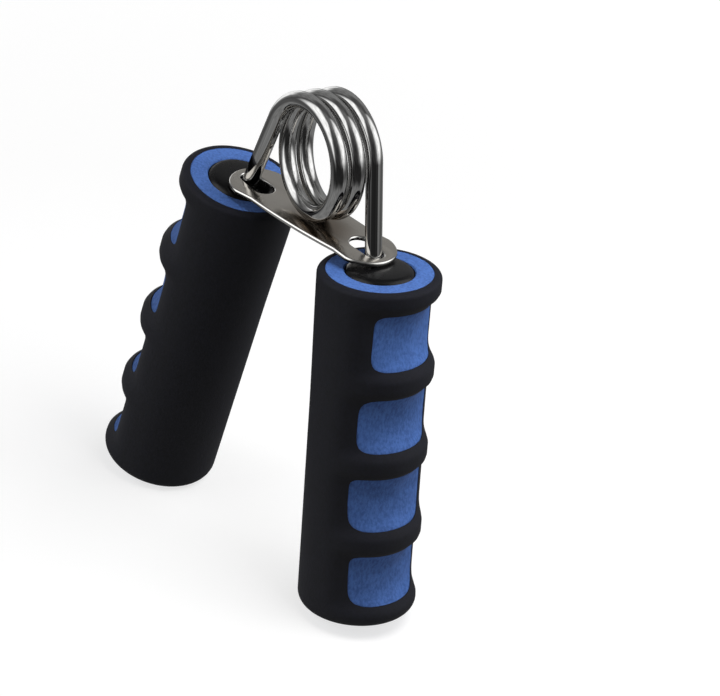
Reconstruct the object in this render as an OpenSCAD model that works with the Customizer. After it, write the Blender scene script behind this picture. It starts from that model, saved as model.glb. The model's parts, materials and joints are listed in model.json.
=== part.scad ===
// Hand grip strengthener: two foam-covered handles on the legs of a torsion spring,
// held at their rest spread by a slotted stop plate.
// Millimetres, +Z up. The handles stand in the XZ plane, one on each side of the Z axis,
// and the lowest edge of their sleeves is at Z = 0. The right side of each piece is
// modelled, and the left side is the same piece turned half a turn about the Z axis.

/* [Spring] */
// Diameter of the spring wire
wire_d = 4.4; // [3.6:0.1:4.8]
// Mean diameter of the coil, from wire centre to wire centre
coil_mean_d = 29.2; // [27:0.2:32]
// Distance from one turn of wire to the next
coil_pitch = 5.1; // [5:0.1:6]
// Full turns of wire, on top of the part turn that brings the legs down
full_turns = 2; // [1:1:3]
// Lean of each leg from upright
leg_lean = 17.2; // [15:0.1:19]
// Turn of the coil about the upright axis, away from the plane of the handles
coil_turn = 13.5; // [8:0.5:18]
// Length of leg held inside each handle core
leg_grip = 44; // [25:1:50]
// Travel of each handle, from rest to fully squeezed
squeeze = 11.5; // [9:0.5:11.5]

/* [Stop plate] */
// Metal beyond the outer end of each slot
plate_rim = 1.95; // [1.5:0.05:4]
// How far the plate's long edges lie inside the sides of the cores
plate_inset = 0.2; // [0:0.1:1.5]
// Radius of the bowed long edges
plate_side_r = 160; // [120:5:400]
// Thickness of the plate
plate_t = 1.3; // [0.8:0.1:1.6]
// Turn of the plate about the upright axis
plate_turn = 2; // [0:0.5:4]
// Gap between the coil and the plate
plate_gap = 0.6; // [0.3:0.1:1.5]
// Drop of the plate over the full squeeze
plate_drop = 4.6; // [4:0.1:4.8]
// Clearance between a leg and the sides of its slot
slot_side_gap = 0.15; // [0.1:0.05:0.5]
// Clearance between a leg at rest and the outer end of its slot
slot_end_gap = 0.5; // [0.4:0.1:0.8]
// Distance from the middle of the plate to the inner end of a slot
slot_inner = 13.6; // [10:0.1:14.5]

/* [Handles] */
// Length of the foam sleeves
sleeve_len = 95; // [85:1:110]
// Outer diameter of the foam sleeves
sleeve_d = 31; // [28:0.5:33]
// Thickness of the black outer foam
skin_t = 1.6; // [1:0.1:2.5]
// Radius of the sleeve's lower edge
foot_r = 3.2; // [1:0.1:4]
// Radius of the sleeve's upper edge
shoulder_r = 1.3; // [0.5:0.1:1.5]
// Lean of each handle from upright
handle_lean = 8.4; // [8:0.1:9]
// Distance from the leg to the handle's centre where the leg enters
leg_inset = 3.3; // [2.5:0.1:3.6]

/* [Finger grooves] */
// Number of grooves on each sleeve
groove_count = 4; // [2:1:4]
// Distance from the top of the sleeve to the middle of the first groove
groove_start = 14; // [12:0.1:15]
// Distance from the middle of the last groove to the lower end of the sleeve
groove_finish = 13.5; // [12:0.1:16]
// Depth of a groove
groove_depth = 3.2; // [2.6:0.1:3.6]
// Radius of a groove's hollow, seen from the side
groove_r = 17.2; // [14:0.2:18]
// Part of the way round the sleeve that a groove covers
groove_span = 96; // [60:1:120]
// Turn of the right sleeve's grooves towards -Y
right_groove_turn = 11; // [-30:1:30]
// Turn of the left sleeve's grooves towards -Y
left_groove_turn = 20; // [-30:1:30]

/* [Handle cores] */
// Diameter of the plastic core
core_d = 18; // [17:0.1:20]
// Height of the domed top of the core
dome_h = 1.2; // [0.8:0.1:1.6]
// Gap between the top of the dome and the stop plate
dome_gap = 0.35; // [0.3:0.05:0.6]
// Diameter of the hollow in the lower part of the core
hollow_d = 13; // [10:0.5:14]
// Plastic left between the end of the leg and the hollow
web_t = 3; // [2:0.5:6]
// Thickness of the end plug's head
plug_head_t = 2; // [1:0.1:4]
// Length of the end plug's spigot
plug_spigot = 8; // [4:0.5:12]
// Clearance round the spigot
plug_gap = 0.1; // [0.05:0.05:0.2]

/* [Hidden] */
$fn = 96;

left = 180;
right = 0;
wire_r = wire_d / 2;
coil_r = coil_mean_d / 2;
sleeve_r = sleeve_d / 2;
core_r = core_d / 2;
blue_r = sleeve_r - skin_t;
groove_pitch = (sleeve_len - groove_start - groove_finish) / (groove_count - 1);

// Angle that the wire winds through between its two legs, and half the coil's width
coil_angle = 360 * full_turns + 180 - 2 * leg_lean;
leg_y = coil_pitch * coil_angle / 720;
coil_step = 9;
coil_steps = ceil(coil_angle / coil_step);
wire_sides = 20;

// Heights below the coil's axis
plate_top = coil_r + wire_r + plate_gap;
plate_bottom = plate_top + plate_t;
handle_top = plate_bottom + dome_gap + dome_h;

// Where a leg crosses a level below the coil's axis once the handles have turned by an
// angle: measured across the coil, and then as a point in the plane of the handles
function leg_across(level, turned) = let (lean = leg_lean - turned)
    coil_r / cos(lean) + level * tan(lean);
function leg_point(level, turned) = let (across = leg_across(level, turned))
    [across * cos(coil_turn) + leg_y * sin(coil_turn),
     leg_y * cos(coil_turn) - across * sin(coil_turn)];
// The same point along and across the stop plate
function on_plate(p) =
    [p.x * cos(plate_turn) + p.y * sin(plate_turn),
     p.y * cos(plate_turn) - p.x * sin(plate_turn)];

leg_at_rest = on_plate(leg_point(plate_bottom, 0));
leg_squeezed = on_plate(leg_point(plate_top + plate_drop, squeeze));
slot_y = (leg_at_rest.y + leg_squeezed.y) / 2;
slot_w = wire_d + abs(leg_at_rest.y - leg_squeezed.y) + 2 * slot_side_gap;
slot_outer = leg_at_rest.x + wire_r / cos(leg_lean) + slot_end_gap;
plate_len = 2 * (slot_outer + plate_rim);
plate_w = core_d - 2 * plate_inset;

leg_entry = leg_point(handle_top, 0);
handle_x = leg_entry.x + leg_inset;
leg_hidden = leg_grip / cos(leg_lean - handle_lean);
leg_len = (coil_r * sin(leg_lean) + handle_top) / cos(leg_lean) + leg_hidden;

// Height of the coil's axis that puts the lowest edge of the sleeves at Z = 0
coil_z = handle_top + sleeve_len * cos(handle_lean) + (sleeve_r - foot_r) * sin(handle_lean)
    + foot_r * (1 - cos(handle_lean));

// Places what is modelled round the coil's axis (the Y axis), with the legs in XZ planes
module coil_frame(side) {
    translate([0, 0, coil_z])
        rotate(side - coil_turn)
            children();
}

// Places what is modelled on a handle: the centre of the sleeve's top face is the
// origin, the handle runs down -Z, and +X points away from the other handle
module handle_frame(side) {
    rotate(side)
        translate([handle_x, 0, coil_z - handle_top])
            rotate([0, -handle_lean, 0])
                children();
}

// A leg of the wire, or with more width the hole that it needs
module leg_rod(side, extra) {
    coil_frame(side)
        translate([coil_r * cos(leg_lean), leg_y, coil_r * sin(leg_lean)])
            rotate([0, -leg_lean, 0])
                translate([0, 0, -leg_len])
                    cylinder(h = leg_len, d = wire_d + extra);
}

module spring_leg(side) {
    color("silver")
        leg_rod(side, 0);
}

// A ring of the coil at step i, in the plane through the coil's axis
function coil_ring(i) = let (wound = coil_angle * i / coil_steps, a = 180 - leg_lean - wound)
    [for (j = [0:wire_sides - 1]) let (b = 360 * j / wire_sides, r = coil_r + wire_r * cos(b))
        [r * cos(a), coil_pitch * wound / 360 - leg_y + wire_r * sin(b), r * sin(a)]];

module spring_coil() {
    rings = [for (i = [0:coil_steps]) each coil_ring(i)];
    walls = [for (i = [0:coil_steps - 1], j = [0:wire_sides - 1])
        let (a = i * wire_sides, next = (j + 1) % wire_sides)
            [a + j, a + wire_sides + j, a + wire_sides + next, a + next]];
    first_end = [for (j = [0:wire_sides - 1]) j];
    last_end = [for (j = [wire_sides - 1:-1:0]) coil_steps * wire_sides + j];
    color("silver")
        coil_frame(right)
            polyhedron(points = rings, faces = concat(walls, [first_end, last_end]), convexity = 8);
}

// A strip with round ends, from x = from_x to x = to_x
module strip(from_x, to_x, width) {
    r = width / 2;
    translate([from_x + r, -r])
        square([to_x - from_x - width, width]);
    translate([from_x + r, 0])
        circle(r);
    translate([to_x - r, 0])
        circle(r);
}

module plate_outline() {
    bow = plate_side_r - plate_w / 2;
    intersection() {
        strip(-plate_len / 2, plate_len / 2, plate_w);
        translate([0, bow])
            circle(plate_side_r, $fn = 720);
        translate([0, -bow])
            circle(plate_side_r, $fn = 720);
    }
}

module stop_plate() {
    color("gainsboro")
        translate([0, 0, coil_z - plate_bottom])
            rotate(plate_turn)
                linear_extrude(plate_t)
                    difference() {
                        plate_outline();
                        for (side = [left, right])
                            rotate(side)
                                translate([0, slot_y])
                                    strip(slot_inner, slot_outer, slot_w);
                    }
}

// The core: a solid upper part that grips the leg, a hollow lower part and a domed top
module handle_core(side) {
    core_len = sleeve_len - plug_head_t;
    hollow_len = core_len - leg_grip - web_t;
    dome_r = (core_r * core_r + dome_h * dome_h) / (2 * dome_h);
    color("#1c1c1e")
        difference() {
            handle_frame(side) {
                difference() {
                    translate([0, 0, -core_len])
                        cylinder(h = core_len, r = core_r);
                    translate([0, 0, -core_len - 1])
                        cylinder(h = hollow_len + 1, d = hollow_d);
                }
                intersection() {
                    translate([0, 0, dome_h - dome_r])
                        sphere(dome_r);
                    cylinder(h = dome_h + 1, r = core_r);
                }
            }
            leg_rod(side, 0);
        }
}

// The plug that closes the hollow, flush with the sleeve's lower end
module end_plug(side) {
    color("#1c1c1e")
        handle_frame(side)
            translate([0, 0, -sleeve_len]) {
                cylinder(h = plug_head_t, r = core_r);
                cylinder(h = plug_head_t + plug_spigot, d = hollow_d - 2 * plug_gap);
            }
}

// A ring cutter for each finger groove, covering part of the way round the sleeve
module groove_cutters(groove_turn) {
    for (i = [0:groove_count - 1])
        translate([0, 0, -groove_start - i * groove_pitch])
            rotate(groove_turn - groove_span / 2)
                rotate_extrude(angle = groove_span)
                    translate([sleeve_r - groove_depth + groove_r, 0])
                        circle(groove_r);
}

// The whole sleeve, both foams, with its rounded edges
module sleeve_envelope() {
    rotate_extrude()
        translate([0, -sleeve_len]) {
            square([sleeve_r - foot_r, sleeve_len]);
            translate([0, foot_r])
                square([sleeve_r, sleeve_len - foot_r - shoulder_r]);
            translate([0, foot_r])
                square([sleeve_r - shoulder_r, sleeve_len - foot_r]);
            translate([sleeve_r - foot_r, foot_r])
                circle(foot_r);
            translate([sleeve_r - shoulder_r, sleeve_len - shoulder_r])
                circle(shoulder_r);
        }
}

// One of the two foam layers between an inner and an outer radius
module foam_layer(side, groove_turn, inner_r, outer_r) {
    handle_frame(side)
        difference() {
            intersection() {
                sleeve_envelope();
                translate([0, 0, -sleeve_len])
                    cylinder(h = sleeve_len, r = outer_r);
            }
            translate([0, 0, -sleeve_len - 1])
                cylinder(h = sleeve_len + 2, r = inner_r);
            groove_cutters(groove_turn);
        }
}

module inner_foam(side, groove_turn) {
    color("#3c5f9f")
        foam_layer(side, groove_turn, core_r, blue_r);
}

module outer_foam(side, groove_turn) {
    color("#202024")
        foam_layer(side, groove_turn, blue_r, sleeve_r + 1);
}

spring_coil();
spring_leg(left);  // left_spring_leg
spring_leg(right);  // right_spring_leg
stop_plate();
handle_core(left);  // left_handle_core
handle_core(right);  // right_handle_core
end_plug(left);  // left_end_plug
end_plug(right);  // right_end_plug
inner_foam(left, left_groove_turn);  // left_inner_foam
inner_foam(right, -right_groove_turn);  // right_inner_foam
outer_foam(left, left_groove_turn);  // left_outer_foam
outer_foam(right, -right_groove_turn);  // right_outer_foam
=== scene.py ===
import json
from math import acos, asin, atan2, cos, degrees, pi, radians, sin, sqrt

import bmesh
import bpy
from mathutils import Matrix, Vector


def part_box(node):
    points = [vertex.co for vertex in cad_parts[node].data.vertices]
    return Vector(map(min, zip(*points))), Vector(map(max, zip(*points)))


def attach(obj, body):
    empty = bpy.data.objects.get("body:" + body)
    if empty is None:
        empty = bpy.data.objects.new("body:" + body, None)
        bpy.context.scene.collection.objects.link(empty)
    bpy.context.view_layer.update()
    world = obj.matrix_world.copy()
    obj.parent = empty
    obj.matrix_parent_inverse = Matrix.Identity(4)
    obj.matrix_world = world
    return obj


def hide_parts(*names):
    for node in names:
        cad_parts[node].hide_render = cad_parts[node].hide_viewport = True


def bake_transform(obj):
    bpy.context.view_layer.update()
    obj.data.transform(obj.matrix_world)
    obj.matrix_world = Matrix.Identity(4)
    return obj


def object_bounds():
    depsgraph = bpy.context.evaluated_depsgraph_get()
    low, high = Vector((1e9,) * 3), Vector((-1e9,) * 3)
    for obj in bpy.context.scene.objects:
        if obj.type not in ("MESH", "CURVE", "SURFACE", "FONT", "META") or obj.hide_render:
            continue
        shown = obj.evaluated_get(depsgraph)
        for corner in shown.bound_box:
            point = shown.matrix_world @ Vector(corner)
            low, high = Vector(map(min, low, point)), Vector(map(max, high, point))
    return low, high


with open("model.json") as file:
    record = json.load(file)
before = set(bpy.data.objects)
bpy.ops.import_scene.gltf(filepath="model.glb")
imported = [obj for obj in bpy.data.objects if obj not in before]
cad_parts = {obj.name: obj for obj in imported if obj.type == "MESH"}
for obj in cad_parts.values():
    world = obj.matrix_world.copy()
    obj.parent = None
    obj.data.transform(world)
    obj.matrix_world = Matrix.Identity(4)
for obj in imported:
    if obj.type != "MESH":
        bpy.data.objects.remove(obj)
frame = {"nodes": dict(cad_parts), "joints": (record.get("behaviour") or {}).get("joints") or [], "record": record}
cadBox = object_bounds()
print("frame loaded:", len(frame["nodes"]), "nodes")

mm = 0.001  # shapes below are worked out in millimetres and made in metres
scene = bpy.context.scene


# camera: a long lens from the right and above, rolled so that the object leans to the right
cameraView = {
    "place": (0.47835, -0.54582, 0.49474),  # metres
    "azimuth": 39.76,  # degrees to the right of the front
    "down": 30.77,  # degrees below level that it looks
    "roll": 11.17,  # degrees anticlockwise
    "lens": 162.56,  # mm
    "sensor": 36.0,  # mm
    "farthest": 20.0,  # metres that it sees
}

cameraData = bpy.data.cameras.new("camera")
cameraData.lens = cameraView["lens"]
cameraData.sensor_fit = "HORIZONTAL"
cameraData.sensor_width = cameraView["sensor"]
cameraData.clip_end = cameraView["farthest"]
camera = bpy.data.objects.new("camera", cameraData)
camera.matrix_world = (
    Matrix.Translation(cameraView["place"])
    @ Matrix.Rotation(radians(cameraView["azimuth"]), 4, "Z")
    @ Matrix.Rotation(radians(90 - cameraView["down"]), 4, "X")
    @ Matrix.Rotation(radians(cameraView["roll"]), 4, "Z")
)
scene.collection.objects.link(camera)
scene.camera = camera
print("camera placed")


def linearColour(hexColour):
    # from sRGB hex, along the curve of the sRGB standard
    channels = [int(hexColour[i:i + 2], 16) / 255 for i in (1, 3, 5)]
    return (*[c / 12.92 if c <= 0.04045 else ((c + 0.055) / 1.055) ** 2.4 for c in channels], 1)


def addNode(tree, kind, settings=None, inputs=None):
    node = tree.nodes.new("ShaderNode" + kind)
    for name, value in (settings or {}).items():
        setattr(node, name, value)
    for name, value in (inputs or {}).items():
        if isinstance(value, bpy.types.NodeSocket):
            tree.links.new(value, node.inputs[name])
        else:
            node.inputs[name].default_value = value
    return node


def newMaterial(name):
    material = bpy.data.materials.new(name)
    material.use_nodes = True
    material.node_tree.nodes.clear()
    return material, material.node_tree


noiseLow, noiseHigh = 0.3, 0.7  # most of a noise texture lies between these


# chrome plate on drawn spring steel: a bright mirror, a little duller where it is worn, with faint
# ripples that the drawing die left in the wire
chromeWire = {
    "colour": "#c6c6c5",
    "roughness": 0.06,
    "wearSize": 6.0,  # mm across a worn place
    "wearStart": 0.35,  # noise values between which the chrome goes from brightest to dullest
    "wearEnd": 0.7,
    "brightest": 0.7,  # times the roughness above
    "dullest": 1.5,
    "rippleSize": 2.0,  # mm, coarser than real so that they show
    "rippleHeight": 0.004,  # mm
}


def chromePlatedSpringSteel():
    material, tree = newMaterial("chromePlatedSpringSteel")
    place = addNode(tree, "TexCoord").outputs["Object"]
    wear = addNode(tree, "TexNoise", inputs={
        "Vector": place, "Scale": 1 / (chromeWire["wearSize"] * mm), "Detail": 4.0, "Roughness": 0.6})
    rough = addNode(tree, "MapRange", inputs={
        "Value": wear.outputs["Fac"],
        "From Min": chromeWire["wearStart"], "From Max": chromeWire["wearEnd"],
        "To Min": chromeWire["roughness"] * chromeWire["brightest"],
        "To Max": chromeWire["roughness"] * chromeWire["dullest"]})
    ripples = addNode(tree, "TexNoise", inputs={
        "Vector": place, "Scale": 1 / (chromeWire["rippleSize"] * mm), "Detail": 3.0})
    bump = addNode(tree, "Bump", inputs={
        "Strength": 0.25, "Distance": chromeWire["rippleHeight"] * mm,
        "Height": ripples.outputs["Fac"]})
    shader = addNode(tree, "BsdfPrincipled", inputs={
        "Base Color": linearColour(chromeWire["colour"]), "Metallic": 1.0,
        "Roughness": rough.outputs["Result"], "Normal": bump.outputs["Normal"]})
    addNode(tree, "OutputMaterial", inputs={"Surface": shader.outputs[0]})
    return material


# nickel plate on stamped, tumbled steel: greyer than chrome, with soft reflections, a rim that
# tumbling has rubbed smoother and whose colour is lightened as a painted highlight, and painted shade under the
# coil
nickelSheet = {
    "colour": "#cfcac2",
    "roughness": 0.2,
    "scuffSize": 3.5,  # mm
    "scuffRange": (0.9, 1.2),  # times the roughness above
    # painted highlight: a lighter colour on the rounded rim, so that the rim's highlight shows whiter
    "rimPaintedHighlightColour": "#dfdedb",
    "rimRoughness": 0.12,
    "rimStart": 0.96,  # how level the surface still is where the rim starts, 1 being level
    "rimEnd": 0.8,
    # painted shade: a darker colour on the plate under the coil, where the coil shades it
    "underCoilShadeColour": "#8d8378",
    "underCoilShadeMiddle": (5.0, -4.0),  # mm from the plate's middle
    "underCoilShadeInside": 5.0,  # mm from there, where it starts to fade
    "underCoilShadeOutside": 13.0,  # mm, where it ends
    "dimpleSpacing": 9.0,  # mm between the shallow waves left by stamping
    "dimpleHeight": 0.03,  # mm
}


def nickelPlatedStampedSteel():
    material, tree = newMaterial("nickelPlatedStampedSteel")
    place = addNode(tree, "TexCoord").outputs["Object"]
    waves = addNode(tree, "TexNoise", inputs={
        "Vector": place, "Scale": 1 / (nickelSheet["dimpleSpacing"] * mm), "Detail": 2.0})
    scuffs = addNode(tree, "TexNoise", inputs={
        "Vector": place, "Scale": 1 / (nickelSheet["scuffSize"] * mm), "Detail": 3.0, "Roughness": 0.5})
    rough = addNode(tree, "MapRange", inputs={
        "Value": scuffs.outputs["Fac"], "From Min": noiseLow, "From Max": noiseHigh,
        "To Min": nickelSheet["roughness"] * nickelSheet["scuffRange"][0],
        "To Max": nickelSheet["roughness"] * nickelSheet["scuffRange"][1]})
    facing = addNode(tree, "NewGeometry").outputs["True Normal"]
    slope = addNode(tree, "SeparateXYZ", inputs={0: facing})
    level = addNode(tree, "Math", {"operation": "ABSOLUTE"}, {0: slope.outputs["Z"]})
    rim = addNode(tree, "MapRange", inputs={
        "Value": level.outputs[0],
        "From Min": nickelSheet["rimStart"], "From Max": nickelSheet["rimEnd"]})
    rough = addNode(tree, "Mix", {"data_type": "FLOAT"}, {
        0: rim.outputs["Result"], 2: rough.outputs["Result"], 3: nickelSheet["rimRoughness"]})
    # painted shade under the coil: the colour darkens towards a spot below the coil
    flat = addNode(tree, "VectorMath", {"operation": "MULTIPLY"}, {0: place, 1: (1, 1, 0)})
    away = addNode(tree, "VectorMath", {"operation": "DISTANCE"}, {
        0: flat.outputs[0], 1: (*[v * mm for v in nickelSheet["underCoilShadeMiddle"]], 0)})
    underCoilShade = addNode(tree, "MapRange", {"interpolation_type": "SMOOTHSTEP"}, {
        "Value": away.outputs["Value"], "From Min": nickelSheet["underCoilShadeOutside"] * mm,
        "From Max": nickelSheet["underCoilShadeInside"] * mm})
    tint = addNode(tree, "Mix", {"data_type": "RGBA"}, {
        0: underCoilShade.outputs["Result"], 6: linearColour(nickelSheet["colour"]),
        7: linearColour(nickelSheet["underCoilShadeColour"])})
    # painted highlight: where the surface slopes over into the rim, its colour turns lighter
    tint = addNode(tree, "Mix", {"data_type": "RGBA"}, {
        0: rim.outputs["Result"], 6: tint.outputs[2], 7: linearColour(nickelSheet["rimPaintedHighlightColour"])})
    bump = addNode(tree, "Bump", inputs={
        "Strength": 1.0, "Distance": nickelSheet["dimpleHeight"] * mm, "Height": waves.outputs["Fac"]})
    shader = addNode(tree, "BsdfPrincipled", inputs={
        "Base Color": tint.outputs[2], "Metallic": 1.0,
        "Roughness": rough.outputs[0], "Normal": bump.outputs["Normal"]})
    addNode(tree, "OutputMaterial", inputs={"Surface": shader.outputs[0]})
    return material


# ABS, injection moulded from a satin tool: near black with a soft sheen
mouldedPlastic = {
    "colour": "#0c0c0d",
    "roughness": 0.24,
    "smearSize": 4.0,  # mm across a duller or glossier place
    "smearRange": (0.8, 1.25),  # times the roughness above
    "grainSize": 0.5,  # mm
    "grainHeight": 0.01,  # mm
}


def mouldedBlackAbs():
    material, tree = newMaterial("mouldedBlackAbs")
    place = addNode(tree, "TexCoord").outputs["Object"]
    grain = addNode(tree, "TexNoise", inputs={
        "Vector": place, "Scale": 1 / (mouldedPlastic["grainSize"] * mm), "Detail": 3.0})
    smear = addNode(tree, "TexNoise", inputs={
        "Vector": place, "Scale": 1 / (mouldedPlastic["smearSize"] * mm), "Detail": 3.0})
    rough = addNode(tree, "MapRange", inputs={
        "Value": smear.outputs["Fac"], "From Min": noiseLow, "From Max": noiseHigh,
        "To Min": mouldedPlastic["roughness"] * mouldedPlastic["smearRange"][0],
        "To Max": mouldedPlastic["roughness"] * mouldedPlastic["smearRange"][1]})
    bump = addNode(tree, "Bump", inputs={
        "Strength": 0.6, "Distance": mouldedPlastic["grainHeight"] * mm,
        "Height": grain.outputs["Fac"]})
    shader = addNode(tree, "BsdfPrincipled", inputs={
        "Base Color": linearColour(mouldedPlastic["colour"]),
        "IOR": 1.54, "Specular IOR Level": 0.25,
        "Roughness": rough.outputs["Result"], "Normal": bump.outputs["Normal"]})
    addNode(tree, "OutputMaterial", inputs={"Surface": shader.outputs[0]})
    return material


# closed-cell NBR foam, skived and ground: matt, with fine cut cells and crinkles along the handle
foamFinish = {
    "blue": ("#456aaf", "#355590", 0.85),  # colour, shade in the crinkles, roughness
    "black": ("#0f1019", "#0b0c13", 0.75),
    "cellSize": 0.45,  # mm, about twice the real cell so that it shows
    "cellHeight": 0.05,  # mm
    "crinkleWidth": 0.65,  # mm between the crinkles that grinding leaves
    "crinkleStretch": 2.0,  # how much longer than wide they are
    "mottleSize": 5.0,  # mm
    "mottleShare": 0.35,  # how much the mottle adds to the crinkles
    "shadeStart": 0.58,  # their sum where the shade starts
    "shadeEnd": 0.84,
}


def groundNbrFoam(name, colour, shade, roughness):
    material, tree = newMaterial(name)
    place = addNode(tree, "TexCoord").outputs["Object"]
    along = addNode(tree, "Mapping", inputs={
        "Vector": place, "Scale": (1, 1, 1 / foamFinish["crinkleStretch"])}).outputs[0]
    crinkles = addNode(tree, "TexNoise", inputs={
        "Vector": along, "Scale": 1 / (foamFinish["crinkleWidth"] * mm),
        "Detail": 3.0, "Roughness": 0.6})
    mottle = addNode(tree, "TexNoise", inputs={
        "Vector": place, "Scale": 1 / (foamFinish["mottleSize"] * mm), "Detail": 2.0})
    worn = addNode(tree, "Math", {"operation": "MULTIPLY_ADD"}, {
        0: mottle.outputs["Fac"], 1: foamFinish["mottleShare"], 2: crinkles.outputs["Fac"]})
    amount = addNode(tree, "MapRange", inputs={
        "Value": worn.outputs[0],
        "From Min": foamFinish["shadeStart"], "From Max": foamFinish["shadeEnd"]})
    tint = addNode(tree, "Mix", {"data_type": "RGBA"}, {
        0: amount.outputs["Result"], 6: linearColour(colour), 7: linearColour(shade)})
    cells = addNode(tree, "TexVoronoi", {"feature": "F1"}, {
        "Vector": place, "Scale": 1 / (foamFinish["cellSize"] * mm)})
    depth = addNode(tree, "Math", {"operation": "ADD"}, {
        0: cells.outputs["Distance"], 1: crinkles.outputs["Fac"]})
    bump = addNode(tree, "Bump", inputs={
        "Strength": 0.5, "Distance": foamFinish["cellHeight"] * mm, "Height": depth.outputs[0]})
    shader = addNode(tree, "BsdfPrincipled", inputs={
        "Base Color": tint.outputs[2], "IOR": 1.45, "Roughness": roughness,
        "Normal": bump.outputs["Normal"]})
    addNode(tree, "OutputMaterial", inputs={"Surface": shader.outputs[0]})
    return material


chrome = chromePlatedSpringSteel()
nickel = nickelPlatedStampedSteel()
blackAbs = mouldedBlackAbs()
blueFoam = groundNbrFoam("groundBlueNbrFoam", *foamFinish["blue"])
blackFoam = groundNbrFoam("skivedBlackNbrFoam", *foamFinish["black"])
print("materials made")


def newPiece(name, points, faces, material, place, sharpAngle=35):
    mesh = bpy.data.meshes.new(name)
    mesh.from_pydata([place @ (Vector(p) * mm) for p in points], [], faces)
    mesh.validate()
    mesh.shade_smooth()
    if sharpAngle:
        mesh.set_sharp_from_angle(angle=radians(sharpAngle))
    mesh.materials.append(material)
    piece = bpy.data.objects.new(name, mesh)
    scene.collection.objects.link(piece)
    return piece


# where the CAD model has the coil's axis and the two handles
squeezeJoint = next(j for j in frame["joints"] if j["name"] == "right_squeeze")
coilCentre = Vector(squeezeJoint["pos_m"])
coilAxis = Vector(squeezeJoint["axis"]).normalized()
coilPlace = Matrix.Translation(coilCentre) @ coilAxis.cross(Vector((0, 0, 1))).to_track_quat(
    "X", "Z").to_matrix().to_4x4()
mounts = {m["name"]: m for m in frame["record"]["mounts"]}
halfTurn = (
    Matrix.Translation(coilCentre) @ Matrix.Rotation(pi, 4, "Z") @ Matrix.Translation(-coilCentre))


def handlePlace(side, length):
    # the middle of a handle's top, with +X outwards and +Z up along the handle
    foot = mounts[side + "_handle_end"]
    up = -Vector(foot["axis"])
    across = up.cross(Vector((0, 0, 1))).normalized()  # to the back on the right handle
    outward = across.cross(up)
    turn = Matrix((outward, across, up)).transposed().to_4x4()
    return Matrix.Translation(Vector(foot["pos_m"]) + up * length * mm) @ turn


# spring: each half is one smooth wire, from the middle of the coil down into its handle, in mm
springWire = {
    "wireRadius": 2.2,
    "coilRadius": 14.6,  # to the middle of the wire
    "halfWidth": 6.131,  # from the middle of the coil to a leg, along the axis
    "halfWinding": 432.8,  # degrees from the middle of the coil to a leg
    "easing": 20.0,  # degrees over which the wire turns out of its pitch into the leg
    "legLean": 17.2,  # degrees from upright
    "legLength": 70.9,
    "ringStep": 3.0,  # degrees between the rings of points round the coil
    "legStep": 6.0,  # mm between them along a leg
    "sides": 32,
}


def wirePath():
    wire = springWire
    lean, winding, ease = wire["legLean"], wire["halfWinding"], wire["easing"]
    pitch = wire["halfWidth"] / (winding - ease / 2)  # mm for each degree
    steps = round(winding / wire["ringStep"])
    stations = []
    for i in range(steps + 1):
        wound = winding * i / steps
        late = max(0, wound - (winding - ease))
        along = pitch * (wound - late * late / (2 * ease))
        slope = pitch * (1 - late / ease)
        angle = radians(lean + winding - wound)
        outward = Vector((cos(angle), 0, sin(angle)))
        tangent = Vector((sin(angle), 0, -cos(angle))) * radians(1) * wire["coilRadius"]
        tangent.y = slope
        centre = outward * wire["coilRadius"] + Vector((0, along, 0))
        stations.append((centre, outward, tangent.normalized()))
    start, outward, tangent = stations[-1]
    legSteps = round(wire["legLength"] / wire["legStep"])
    for i in range(1, legSteps + 1):
        stations.append((start + tangent * wire["legLength"] * i / legSteps, outward, tangent))
    return stations


def springHalf(name, place):
    sides, radius = springWire["sides"], springWire["wireRadius"]
    stations = wirePath()
    points, normals, faces = [], [], []
    for centre, outward, tangent in stations:
        sideways = tangent.cross(outward)
        for k in range(sides):
            turn = 2 * pi * k / sides
            normal = outward * cos(turn) + sideways * sin(turn)
            points.append(centre + normal * radius)
            normals.append(normal)
    for i in range(len(stations) - 1):
        for k in range(sides):
            after = (k + 1) % sides
            a, b = i * sides, (i + 1) * sides
            faces.append((a + k, a + after, b + after, b + k))
    walls = len(faces)
    faces.append(tuple(range(sides - 1, -1, -1)))
    faces.append(tuple((len(stations) - 1) * sides + k for k in range(sides)))
    piece = newPiece(name, points, faces, chrome, place, sharpAngle=None)
    turn = place.to_3x3()
    loopNormals = []
    for face in piece.data.polygons:
        for corner in face.vertices:
            loopNormals.append(turn @ normals[corner] if face.index < walls else face.normal.copy())
    piece.data.normals_split_custom_set(loopNormals)
    return piece


for side, place, way in (("right", coilPlace, 1), ("left", halfTurn @ coilPlace, -1)):
    spring = springHalf(side + "SpringHalf", place)
    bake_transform(spring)
    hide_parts(side + "_spring_leg", "spring_coil")
print("spring wound")


# stop plate: a stamped oblong with bowed long sides, round ends and a slot for each leg, close
# round the leg at its outer end and wider inwards, where the leg swings across as it closes, in mm
stopPlate = {
    "length": 53.4,
    "width": 17.0,
    "setBack": 0.35,  # how far the loose plate lies behind the middle of its slots
    "sideRadius": 160.0,
    "sideShare": 0.8,  # of each bowed side, and the rest runs straight to the round ends
    "edgeRadius": 0.55,
    "turn": 2.8,  # degrees anticlockwise, seen from above
    "slotInner": 13.6,  # from the middle to the inner end of a slot
    "slotInnerRadius": 2.95,
    "slotInnerOffset": 0.81,  # towards the back on the right and the front on the left
    "slotOuter": 24.5,
    "slotOuterRadius": 2.45,
    "slotOuterOffset": 0.03,
    "endStep": 6.0,  # degrees between points on the round ends
    "sideStep": 1.0,  # on the bowed sides
    "slotStep": 10.0,  # and on the slots' ends
    "sharpAngle": 40.0,  # degrees between faces that still look like one round edge
}


def arcPoints(centre, radius, start, end, step):
    count = round((end - start) / step)
    angles = [radians(start + (end - start) * i / count) for i in range(count + 1)]
    return [(centre[0] + radius * cos(a), centre[1] + radius * sin(a)) for a in angles]


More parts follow.
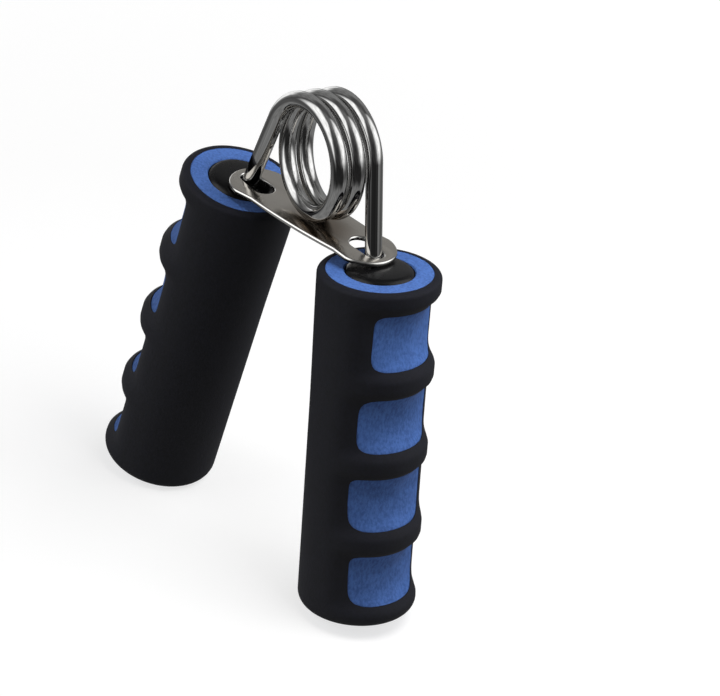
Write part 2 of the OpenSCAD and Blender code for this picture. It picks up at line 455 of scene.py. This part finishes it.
def plateOutline():
    plate = stopPlate
    endRadius = plate["width"] / 2
    endCentre = plate["length"] / 2 - endRadius
    bow = plate["sideRadius"] - endRadius
    meet = plate["sideRadius"] - sqrt(plate["sideRadius"] ** 2 - endCentre ** 2)
    endTurn = degrees(acos(meet / endRadius))
    reach = degrees(asin(endCentre / plate["sideRadius"])) * plate["sideShare"]
    half = arcPoints((endCentre, 0), endRadius, -endTurn, endTurn, plate["endStep"])
    half += arcPoints((0, -bow), plate["sideRadius"], 90 - reach, 90 + reach, plate["sideStep"])
    points = []
    for flip in (1, -1):
        points += [(x * flip, y * flip + plate["setBack"]) for x, y in half]
    return points


def slotOutline(flip):
    plate = stopPlate
    inner = Vector((plate["slotInner"] + plate["slotInnerRadius"], plate["slotInnerOffset"]))
    outer = Vector((plate["slotOuter"] - plate["slotOuterRadius"], plate["slotOuterOffset"]))
    along = outer - inner
    facing = degrees(atan2(along.y, along.x))
    taper = degrees(asin((plate["slotInnerRadius"] - plate["slotOuterRadius"]) / along.length))
    points = arcPoints(
        outer, plate["slotOuterRadius"], facing - 90 + taper, facing + 90 - taper, plate["slotStep"])
    points += arcPoints(
        inner, plate["slotInnerRadius"], facing + 90 - taper, facing + 270 + taper, plate["slotStep"])
    return [(x * flip, y * flip) for x, y in points]


def makeStopPlate():
    low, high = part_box("stop_plate")
    thickness = (high.z - low.z) / mm
    curve = bpy.data.curves.new("stopPlateOutline", "CURVE")
    curve.dimensions = "2D"
    curve.fill_mode = "BOTH"
    curve.extrude = (thickness / 2 - stopPlate["edgeRadius"]) * mm
    curve.bevel_depth = stopPlate["edgeRadius"] * mm
    curve.bevel_resolution = 3
    curve.offset = -stopPlate["edgeRadius"] * mm
    for outline in (plateOutline(), slotOutline(1), slotOutline(-1)):
        spline = curve.splines.new("POLY")
        spline.points.add(len(outline) - 1)
        for point, (x, y) in zip(spline.points, outline):
            point.co = (x * mm, y * mm, 0, 1)
        spline.use_cyclic_u = True
    source = bpy.data.objects.new("stopPlateSource", curve)
    scene.collection.objects.link(source)
    depsgraph = bpy.context.evaluated_depsgraph_get()
    mesh = bpy.data.meshes.new_from_object(source.evaluated_get(depsgraph))
    bpy.data.objects.remove(source)
    mesh.name = "stopPlate"
    form = bmesh.new()
    form.from_mesh(mesh)
    bmesh.ops.remove_doubles(form, verts=form.verts, dist=0.001 * mm)
    bmesh.ops.recalc_face_normals(form, faces=form.faces)
    form.to_mesh(mesh)
    form.free()
    lift = Matrix.Translation((0, 0, ((low + high) / 2).z))
    mesh.transform(lift @ Matrix.Rotation(radians(stopPlate["turn"]), 4, "Z"))
    mesh.shade_smooth()
    mesh.set_sharp_from_angle(angle=radians(stopPlate["sharpAngle"]))
    mesh.materials.clear()
    mesh.materials.append(nickel)
    plate = bpy.data.objects.new("stopPlate", mesh)
    scene.collection.objects.link(plate)
    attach(plate, "stop_plate")
    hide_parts("stop_plate")


makeStopPlate()
print("stop plate stamped")


turnedSides = 96
quarterTurn = range(0, 91, 15)  # degrees, for the points round an edge


def turnedPiece(name, profile, material, place):
    sides = turnedSides
    points, faces, rings = [], [], []
    for radius, height in profile:
        if radius == 0:
            rings.append([len(points)])
            points.append((0, 0, height))
        else:
            rings.append([len(points) + k for k in range(sides)])
            points += [(radius * cos(2 * pi * k / sides), radius * sin(2 * pi * k / sides), height)
                       for k in range(sides)]
    for upper, lower in zip(rings, rings[1:] + rings[:1]):
        if len(upper) == 1 and len(lower) == 1:
            continue
        for k in range(sides):
            after = (k + 1) % sides
            if len(upper) == 1:
                faces.append((upper[0], lower[k], lower[after]))
            elif len(lower) == 1:
                faces.append((upper[k], lower[0], upper[after]))
            else:
                faces.append((upper[k], lower[k], lower[after], upper[after]))
    return newPiece(name, points, faces, material, place)


# handle core: black plastic with a low domed top, gripped by the foam, in mm
handleCore = {
    "radius": 8.95,
    "domeHeight": 1.2,
    "domePower": 3.2,  # how flat the dome is in its middle
    "rimStart": 7.2,  # the radius where the dome rounds over to its rim
    "rimSlope": 60.0,  # degrees of slope where the rim goes into the foam
    "length": 93.0,
    "hollowRadius": 6.5,
    "hollowLength": 46.0,
    "steps": 12,  # points over the dome, and again round its rim
}

# end plug: closes the hollow core, level with the sleeve's lower end, in mm
endPlug = {
    "radius": 8.95,
    "headThickness": 2.0,
    "edgeRadius": 0.5,
    "grooveRadius": 5.2,
    "grooveHalfWidth": 0.4,
    "grooveDepth": 0.4,
    "spigotRadius": 6.4,
    "spigotLength": 8.0,
}


def coreProfile():
    core = handleCore

    def domeAt(radius):
        return core["domeHeight"] * sqrt(1 - (radius / core["radius"]) ** core["domePower"])

    steps = core["steps"]
    profile = [(r, domeAt(r)) for r in (core["rimStart"] * i / steps for i in range(steps + 1))]
    start, height = profile[-1]
    nudge = 0.1  # mm over which the dome's slope is taken
    slope = degrees(atan2(domeAt(start - nudge) - height, nudge))
    rimRadius = (core["radius"] - start) / (sin(radians(core["rimSlope"])) - sin(radians(slope)))
    for i in range(1, steps + 1):
        angle = slope + (core["rimSlope"] - slope) * i / steps
        profile.append((start + rimRadius * (sin(radians(angle)) - sin(radians(slope))),
                        height - rimRadius * (cos(radians(slope)) - cos(radians(angle)))))
    profile += [(core["radius"], -core["length"]), (core["hollowRadius"], -core["length"]),
                (core["hollowRadius"], -core["length"] + core["hollowLength"]),
                (0, -core["length"] + core["hollowLength"])]
    return profile


def plugProfile(length):
    plug = endPlug
    top = plug["headThickness"] - length
    edge = plug["edgeRadius"]
    profile = [(0, top + plug["spigotLength"]), (plug["spigotRadius"], top + plug["spigotLength"]),
               (plug["spigotRadius"], top), (plug["radius"], top)]
    profile += [(plug["radius"] - edge + edge * cos(radians(a)), edge - length - edge * sin(radians(a)))
                for a in quarterTurn]
    profile += [(plug["grooveRadius"] + plug["grooveHalfWidth"], -length),
                (plug["grooveRadius"], -length + plug["grooveDepth"]),
                (plug["grooveRadius"] - plug["grooveHalfWidth"], -length), (0, -length)]
    return profile


# foam sleeve, in mm: a blue tube under a black one, both ground by hand into four finger grooves
foamSleeve = {
    "length": 95.0,
    "radius": 15.5,
    "topSwell": 0.35,  # how far the black foam bulges near its top
    "swellLength": 40.0,
    "blueRadius": 13.9,
    "boreRadius": 9.0,
    "boreChamfer": 0.3,
    "topChamfer": (0.2, 0.15),  # width and height, at the blue tube's upper edge
    "shoulderRadius": 1.3,
    "footRadius": 3.2,
    "grooveDepth": 4.4,
    "grooveEnd": 0.95,  # how far up and down a groove may go, as a share of its arc's radius
    "windowHalfAngle": 56.0,
    "crestBlend": 0.8,  # how softly a groove runs out into the skin
    "stepDown": 0.15,  # the blue lies this far below the black's edge
    "fineAngle": 2.0,  # degrees between points across the grooves
    "fineMargin": 26.0,  # degrees beyond the windows that still have fine spacing
    "coarseAngle": 5.0,  # degrees between points round the back
    "rowStep": 0.9,
    "blackFootSteps": 6,
    "blueFootSteps": 4,
}

# each groove: its middle below the sleeve's top, half the height of its blue window, and how
# softly the window's upper and lower corners are rounded
fingerGrooves = [
    (14.15, 8.0, 1.8, 2.4),
    (37.2, 7.6, 2.8, 2.6),
    (59.65, 7.55, 1.8, 3.4),
    (81.75, 7.4, 1.8, 3.4),
]

# hand grinding leaves no two grooves quite alike. The way each one faces is in degrees from
# straight out, towards the back on the right handle and towards the front on the left one
handGrinding = {
    "right": {
        "turns": (4.5, -3.0, -7.5, -1.5),
        "endSlope": 0.105,  # mm of depth lost for each degree at the ends of a groove
        "corners": 1.0,  # times the roundness of the corners above
    },
    "left": {
        "turns": (18.0, 17.0, 11.0, 8.0),
        "endSlope": 0.08,
        "corners": 0.7,
    },
}


def smoothMin(a, b, blend):
    # the smaller of the two, rounded where they cross
    share = min(1, max(0, 0.5 + 0.5 * (b - a) / blend))
    return b + (a - b) * share - blend * share * (1 - share)


def groundDepth(angle, below, grinding):
    # how deep the surface is ground at an angle in degrees and a distance below the sleeve's top
    foam = foamSleeve
    skin = foam["radius"] - foam["blueRadius"]
    floorDepth = foam["grooveDepth"] - skin
    deepest = 0
    for (middle, halfHeight, upperCorner, lowerCorner), turn in zip(fingerGrooves, grinding["turns"]):
        away = abs(below - middle)
        grindRadius = (halfHeight ** 2 + floorDepth ** 2) / (2 * floorDepth)
        if away > grindRadius * foam["grooveEnd"]:
            continue
        axial = foam["grooveDepth"] - grindRadius + sqrt(grindRadius ** 2 - away ** 2)
        around = skin + grinding["endSlope"] * (foam["windowHalfAngle"] - abs(angle - turn))
        corner = lowerCorner if below > middle else upperCorner
        depth = smoothMin(axial, around, corner * grinding["corners"])
        deepest = -smoothMin(-deepest, -depth, foam["crestBlend"])
    return deepest


def sleeveProfile():
    foam = foamSleeve
    radius, length = foam["radius"], foam["length"]
    shoulder, foot = foam["shoulderRadius"], foam["footRadius"]
    profile = [(foam["blueRadius"], 0)]
    profile += [(radius - shoulder + shoulder * sin(radians(a)), shoulder - shoulder * cos(radians(a)))
                for a in quarterTurn]
    rows = round((length - shoulder - foot) / foam["rowStep"])
    profile += [(radius, shoulder + (length - shoulder - foot) * i / rows) for i in range(1, rows + 1)]
    lowest = degrees(acos((foam["blueRadius"] - radius + foot) / foot))
    steps = foam["blackFootSteps"]
    turns = [radians(lowest * i / steps) for i in range(1, steps + 1)]
    profile += [(radius - foot + foot * cos(a), length - foot + foot * sin(a)) for a in turns]
    return profile


def sleeveAngles():
    foam = foamSleeve
    edge = foam["windowHalfAngle"] + foam["fineMargin"]
    fine = round(2 * edge / foam["fineAngle"])
    coarse = round((360 - 2 * edge) / foam["coarseAngle"])
    angles = [-edge + 2 * edge * i / fine for i in range(fine)]
    return angles + [edge + (360 - 2 * edge) * i / coarse for i in range(coarse)]


def sleeveGrid(grinding):
    # the sleeve's ground surface as rows of (angle, radius, height)
    foam = foamSleeve
    skin = foam["radius"] - foam["blueRadius"]
    facing = sum(grinding["turns"]) / len(fingerGrooves)
    grid = []
    for radius, below in sleeveProfile():
        fade = max(0, 1 - below / foam["swellLength"])
        swell = foam["topSwell"] * fade * fade * (3 - 2 * fade) * (radius - foam["blueRadius"]) / skin
        row = []
        for angle in sleeveAngles():
            centred = (angle + 180) % 360 - 180 + facing
            ground = min(radius + swell, foam["radius"] + swell - groundDepth(centred, below, grinding))
            row.append((radians(angle + facing), ground, -below))
        grid.append(row)
    return grid


def roundPoint(angle, radius, height):
    return (radius * cos(angle), radius * sin(angle), height)


def blackSleeve(name, grid, place):
    # keeps the part of the ground surface that lies outside the blue, cut along its exact edge
    blueRadius = foamSleeve["blueRadius"]
    innerRadius = blueRadius - foamSleeve["stepDown"]
    outer, indices, faces = [], {}, []

    def corner(i, j):
        key = (i, j)
        if key not in indices:
            indices[key] = len(outer)
            outer.append(grid[i][j])
        return indices[key]

    def crossing(p, q):
        key = (min(p, q), max(p, q))
        if key not in indices:
            a, b = grid[p[0]][p[1]], grid[q[0]][q[1]]
            share = (blueRadius - a[1]) / (b[1] - a[1])
            bAngle = b[0] + 2 * pi * round((a[0] - b[0]) / (2 * pi))
            indices[key] = len(outer)
            outer.append((a[0] + (bAngle - a[0]) * share, blueRadius, a[2] + (b[2] - a[2]) * share))
        return indices[key]

    columns = len(grid[0])
    for i in range(len(grid) - 1):
        for j in range(columns):
            cell = [(i, j), (i + 1, j), (i + 1, (j + 1) % columns), (i, (j + 1) % columns)]
            face = []
            for p, q in zip(cell, cell[1:] + cell[:1]):
                inP = grid[p[0]][p[1]][1] >= blueRadius
                inQ = grid[q[0]][q[1]][1] >= blueRadius
                if inP:
                    face.append(corner(*p))
                if inP != inQ:
                    face.append(crossing(p, q))
            face = [v for k, v in enumerate(face) if v != face[k - 1]]
            if len(face) >= 3:
                faces.append(face)
    edges = dict.fromkeys(edge for face in faces for edge in zip(face, face[1:] + face[:1]))
    count = len(outer)
    points = [roundPoint(*p) for p in outer] + [roundPoint(p[0], innerRadius, p[2]) for p in outer]
    allFaces = [tuple(f) for f in faces] + [tuple(v + count for v in reversed(f)) for f in faces]
    allFaces += [(b, a, a + count, b + count) for a, b in edges if (b, a) not in edges]
    return newPiece(name, points, allFaces, blackFoam, place)


def blueSleeve(name, grid, place):
    # a closed tube: the ground surface, round the foot, up the bore and over the top
    foam = foamSleeve
    step, columns = foam["stepDown"], len(grid[0])
    chamferWidth, chamferHeight = foam["topChamfer"]
    rows = [[(a, min(r, foam["blueRadius"]) - step, h) for a, r, h in row] for row in grid]
    rows[0] = [(a, r, -chamferHeight) for a, r, h in rows[0]]
    length, foot = foam["length"], foam["footRadius"]
    footCentre = foam["radius"] - foot
    lowest = degrees(acos((foam["blueRadius"] - footCentre) / foot))
    steps = foam["blueFootSteps"]
    rings = []
    for i in range(1, steps + 1):
        a = radians(lowest + (90 - lowest) * i / steps)
        height = -length + foot - foot * sin(a)
        rings.append((footCentre + foot * cos(a) - step * (1 - i / steps), height))
    bore, chamfer = foam["boreRadius"], foam["boreChamfer"]
    rings += [(bore + chamfer, -length), (bore, -length + chamfer)]
    rings += [(bore, -chamfer), (bore + chamfer, 0)]
    rings.append((foam["blueRadius"] - step - chamferWidth, 0))
    rows += [[(point[0], radius, height) for point in grid[0]] for radius, height in rings]
    points = [roundPoint(*p) for row in rows for p in row]
    faces = []
    for i in range(len(rows)):
        a, b = i * columns, (i + 1) % len(rows) * columns
        for j in range(columns):
            after = (j + 1) % columns
            faces.append((a + j, b + j, b + after, a + after))
    return newPiece(name, points, faces, blueFoam, place)


for side, grinding in handGrinding.items():
    place = handlePlace(side, foamSleeve["length"])
    grid = sleeveGrid(grinding)
    core = turnedPiece(side + "HandleCore", coreProfile(), blackAbs, place)
    plug = turnedPiece(side + "EndPlug", plugProfile(foamSleeve["length"]), blackAbs, place)
    blue = blueSleeve(side + "BlueFoam", grid, place)
    black = blackSleeve(side + "BlackFoam", grid, place)
    made = [
        (core, "handle_core", "core_plastic"),
        (plug, "end_plug", "core_plastic"),
        (blue, "inner_foam", "foam_blue"),
        (black, "outer_foam", "foam_black"),
    ]
    for piece, node, slot in made:
        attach(piece, side + "_grip")
        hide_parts(side + "_" + node)
        if slot == "foam_blue":
            piece.visible_glossy = False  # or a blue line runs along every turn of the chrome
print("handles made")


# studio: white paper, a lamp above and two big soft boxes
studio = {
    "paperColour": "#a4a4a4",
    "paperGrainSize": 2.5,  # mm, coarser than real so that it shows
    "paperGrainHeight": 0.1,  # mm
    "paperGlow": 0.7,  # what the paper adds for the eye, so that it looks white and keeps its shadow
    "glowStart": 0.2,  # metres from the object to where the paper starts to turn plain white
    "glowEnd": 0.9,  # metres to where it is plain white
    "floorSize": 12.0,  # metres
    "floorGap": 0.0002,  # metres between the object and the paper
    "ambient": 0.14,  # the strength of the light from all round
    "centre": (0, 0, 0.07),  # metres, where the lamps point
}

# each lamp: (degrees from the back towards the right, degrees above level), metres away, (width,
# height) in metres and power in watts
softBoxes = {
    "overheadSoftBox": ((80, 67), 0.27, (0.15, 0.15), 0.62),
    "backRightSoftBox": ((20, 32), 1.0, (1.4, 1.1), 6.2),
    "frontLeftSoftBox": ((-140, 26), 1.1, (1.0, 0.95), 5.4),
}

# the room as metal shows it: a grey tent with soft bright and dark patches. Each patch has its
# middle (azimuth, elevation), half its width and height in degrees, its fade and its brightness
studioTent = {
    "radius": 3.0,  # metres
    "floorClearance": 0.0001,  # metres between the paper and the tent's lower part
    "lowRings": (-89.9, -70, -50, -35, -25, -18, -12, -8, -5, -3, -2.2),  # degrees above level
    "highRingStep": 6,  # degrees, from 0 up to the top
    "sides": 48,
    "wallBrightness": 0.22,
    "clutter": 0.35,  # how much brighter or darker the things in the room make it
    "clutterSize": 0.12,  # as a share of the tent's radius
    "patches": {
        "table": ((0, -65), (180, 30), 8, 0.27),
        "backWall": ((-48, 27), (32, 18), 12, 0.29),
        "highGap": ((-50, 65), (65, 15), 8, 0.105),
        "shadedTable": ((-120, -22), (60, 9), 6, 0.1),
        "rightTable": ((48, -24), (32, 6), 5, 0.27),
        "rightTableEdge": ((50, -9), (36, 7), 5, 0.12),
        "frontGapTop": ((140, 45), (30, 20), 12, 0.11),
        "frontGap": ((137, 20), (27, 20), 12, 0.05),
        "rightSoftBox": ((52, 38), (38, 32), 11, 1.15),
        "rightSoftBoxMiddle": ((42, 34), (25, 21), 11, 1.75),
        "lowLeftReflector": ((-69, -3), (20, 13), 8, 1.35),
        "leftGap": ((-113, 18), (9, 36), 6, 0.1),
        "frontLeftSoftBox": ((-151, 28), (31, 30), 9, 1.6),
        "darkFront": ((125, -8), (45, 18), 8, 0.024),
        "darkLowFront": ((174, -20), (30, 10), 7, 0.026),
    },
}


def whiteForSight(tree):
    # 1 for rays that come from the camera, a mirror or glass, and 0 for the rest
    path = addNode(tree, "LightPath")
    seen = addNode(tree, "Math", {"operation": "MAXIMUM"}, {
        0: path.outputs["Is Camera Ray"], 1: path.outputs["Is Glossy Ray"]})
    return addNode(tree, "Math", {"operation": "MAXIMUM"}, {
        0: seen.outputs[0], 1: path.outputs["Is Transmission Ray"]}).outputs[0]


# matt paper, rolled out flat: plain white to the eye, with the object's soft shadow on it
def whitePaperSweep():
    material, tree = newMaterial("whitePaperSweep")
    place = addNode(tree, "TexCoord").outputs["Object"]
    grain = addNode(tree, "TexNoise", inputs={
        "Vector": place, "Scale": 1 / (studio["paperGrainSize"] * mm)})
    bump = addNode(tree, "Bump", inputs={
        "Strength": 0.05, "Distance": studio["paperGrainHeight"] * mm, "Height": grain.outputs["Fac"]})
    paper = addNode(tree, "BsdfDiffuse", inputs={
        "Color": linearColour(studio["paperColour"]), "Normal": bump.outputs["Normal"]})
    away = addNode(tree, "VectorMath", {"operation": "LENGTH"}, {0: place})
    glow = addNode(tree, "MapRange", inputs={
        "Value": away.outputs["Value"], "From Min": studio["glowStart"], "From Max": studio["glowEnd"],
        "To Min": studio["paperGlow"], "To Max": 1.0})
    strength = addNode(tree, "Math", {"operation": "MULTIPLY"}, {
        0: glow.outputs["Result"], 1: whiteForSight(tree)})
    light = addNode(tree, "Emission", inputs={"Color": (1, 1, 1, 1), "Strength": strength.outputs[0]})
    both = addNode(tree, "AddShader", inputs={0: paper.outputs[0], 1: light.outputs[0]})
    addNode(tree, "OutputMaterial", inputs={"Surface": both.outputs[0]})
    return material


def stagePiece(name, points, faces, material):
    mesh = bpy.data.meshes.new(name)
    mesh.from_pydata(points, [], faces)
    mesh.materials.append(material)
    piece = bpy.data.objects.new(name, mesh)
    scene.collection.objects.link(piece)
    return piece


floorLevel = cadBox[0].z - studio["floorGap"]
reach = studio["floorSize"] / 2
floorCorners = [(x * reach, y * reach, floorLevel) for x, y in ((-1, -1), (1, -1), (1, 1), (-1, 1))]
stagePiece("floor", floorCorners, [(0, 1, 2, 3)], whitePaperSweep())

world = bpy.data.worlds.new("studio")
world.use_nodes = True
world.node_tree.nodes.clear()
worldTree = world.node_tree
sky = addNode(worldTree, "Mix", {"data_type": "FLOAT"}, {
    0: whiteForSight(worldTree), 2: studio["ambient"], 3: 1.0})
background = addNode(worldTree, "Background", inputs={
    "Color": (1, 1, 1, 1), "Strength": sky.outputs[0]})
addNode(worldTree, "OutputWorld", inputs={"Surface": background.outputs[0]})
scene.world = world


def towards(azimuth, elevation):
    a, e = radians(azimuth), radians(elevation)
    return Vector((sin(a) * cos(e), cos(a) * cos(e), sin(e)))


def softBox(name, direction, distance, size, power):
    lamp = bpy.data.lights.new(name, "AREA")
    lamp.shape = "RECTANGLE"
    lamp.size, lamp.size_y = size
    lamp.energy = power
    holder = bpy.data.objects.new(name, lamp)
    holder.location = Vector(studio["centre"]) + towards(*direction) * distance
    holder.rotation_euler = (-towards(*direction)).to_track_quat("-Z", "Y").to_euler()
    holder.visible_camera = False
    holder.visible_glossy = False  # the tent shows its light in metal
    scene.collection.objects.link(holder)


def patchShare(tree, angle, middle, half, fade):
    # 1 inside a patch and 0 beyond it, for an angle in degrees
    off = addNode(tree, "Math", {"operation": "WRAP"}, {0: angle, 1: middle + 180, 2: middle - 180})
    off = addNode(tree, "Math", {"operation": "SUBTRACT"}, {0: off.outputs[0], 1: middle})
    off = addNode(tree, "Math", {"operation": "ABSOLUTE"}, {0: off.outputs[0]})
    return addNode(tree, "MapRange", {"interpolation_type": "SMOOTHSTEP"}, {
        "Value": off.outputs[0], "From Min": half + fade, "From Max": half - fade}).outputs["Result"]


# cloth lit from behind: it gives metal the bright and dark patches of a room
def tentCloth():
    material, tree = newMaterial("tentCloth")
    place = addNode(tree, "TexCoord").outputs["Object"]
    sight = addNode(tree, "VectorMath", {"operation": "NORMALIZE"}, {0: place}).outputs[0]
    along = addNode(tree, "SeparateXYZ", inputs={0: sight})
    azimuth = addNode(tree, "Math", {"operation": "ARCTAN2"}, {
        0: along.outputs["X"], 1: along.outputs["Y"]})
    elevation = addNode(tree, "Math", {"operation": "ARCSINE"}, {0: along.outputs["Z"]})
    azimuth, elevation = [
        addNode(tree, "Math", {"operation": "DEGREES"}, {0: a.outputs[0]}).outputs[0]
        for a in (azimuth, elevation)]
    brightness = studioTent["wallBrightness"]
    for (side, up), (halfWidth, halfHeight), fade, patch in studioTent["patches"].values():
        if halfWidth >= 180:
            halfWidth += fade  # a patch that goes all round doesn't fade at its ends
        share = addNode(tree, "Math", {"operation": "MULTIPLY"}, {
            0: patchShare(tree, azimuth, side, halfWidth, fade),
            1: patchShare(tree, elevation, up, halfHeight, fade)})
        brightness = addNode(tree, "Mix", {"data_type": "FLOAT"}, {
            0: share.outputs[0], 2: brightness, 3: patch}).outputs[0]
    things = addNode(tree, "TexNoise", inputs={
        "Vector": sight, "Scale": 1 / studioTent["clutterSize"], "Detail": 3.0})
    clutter = addNode(tree, "MapRange", inputs={
        "Value": things.outputs["Fac"], "From Min": noiseLow, "From Max": noiseHigh,
        "To Min": 1 - studioTent["clutter"], "To Max": 1 + studioTent["clutter"]})
    strength = addNode(tree, "Math", {"operation": "MULTIPLY"}, {
        0: brightness, 1: clutter.outputs["Result"]})
    light = addNode(tree, "Emission", inputs={"Strength": strength.outputs[0]})
    addNode(tree, "OutputMaterial", inputs={"Surface": light.outputs[0]})
    return material


def pitchTent():
    # rings round the coil, the lower ones flat on the paper. The tent shows in reflections only,
    # and neither lights nor shades the object
    sides, step, low = studioTent["sides"], studioTent["highRingStep"], studioTent["lowRings"]
    rise = coilCentre.z - floorLevel - studioTent["floorClearance"]
    points, faces = [], []
    for elevation in (*low, *range(0, 90, step), -low[0]):
        length = studioTent["radius"]
        if elevation < 0:
            length = min(length, rise / sin(radians(-elevation)))
        points += [towards(360 * k / sides, elevation) * length for k in range(sides)]
    for start in range(0, len(points) - sides, sides):
        for k in range(sides):
            after = (k + 1) % sides
            faces.append((start + k, start + after, start + sides + after, start + sides + k))
    tent = stagePiece("studioTent", points, faces, tentCloth())
    tent.location = coilCentre
    tent.visible_camera = tent.visible_diffuse = tent.visible_shadow = False
    tent.visible_transmission = tent.visible_volume_scatter = False


for name, settings in softBoxes.items():
    softBox(name, *settings)
pitchTent()
scene.view_settings.view_transform = "Standard"
print("studio lit")
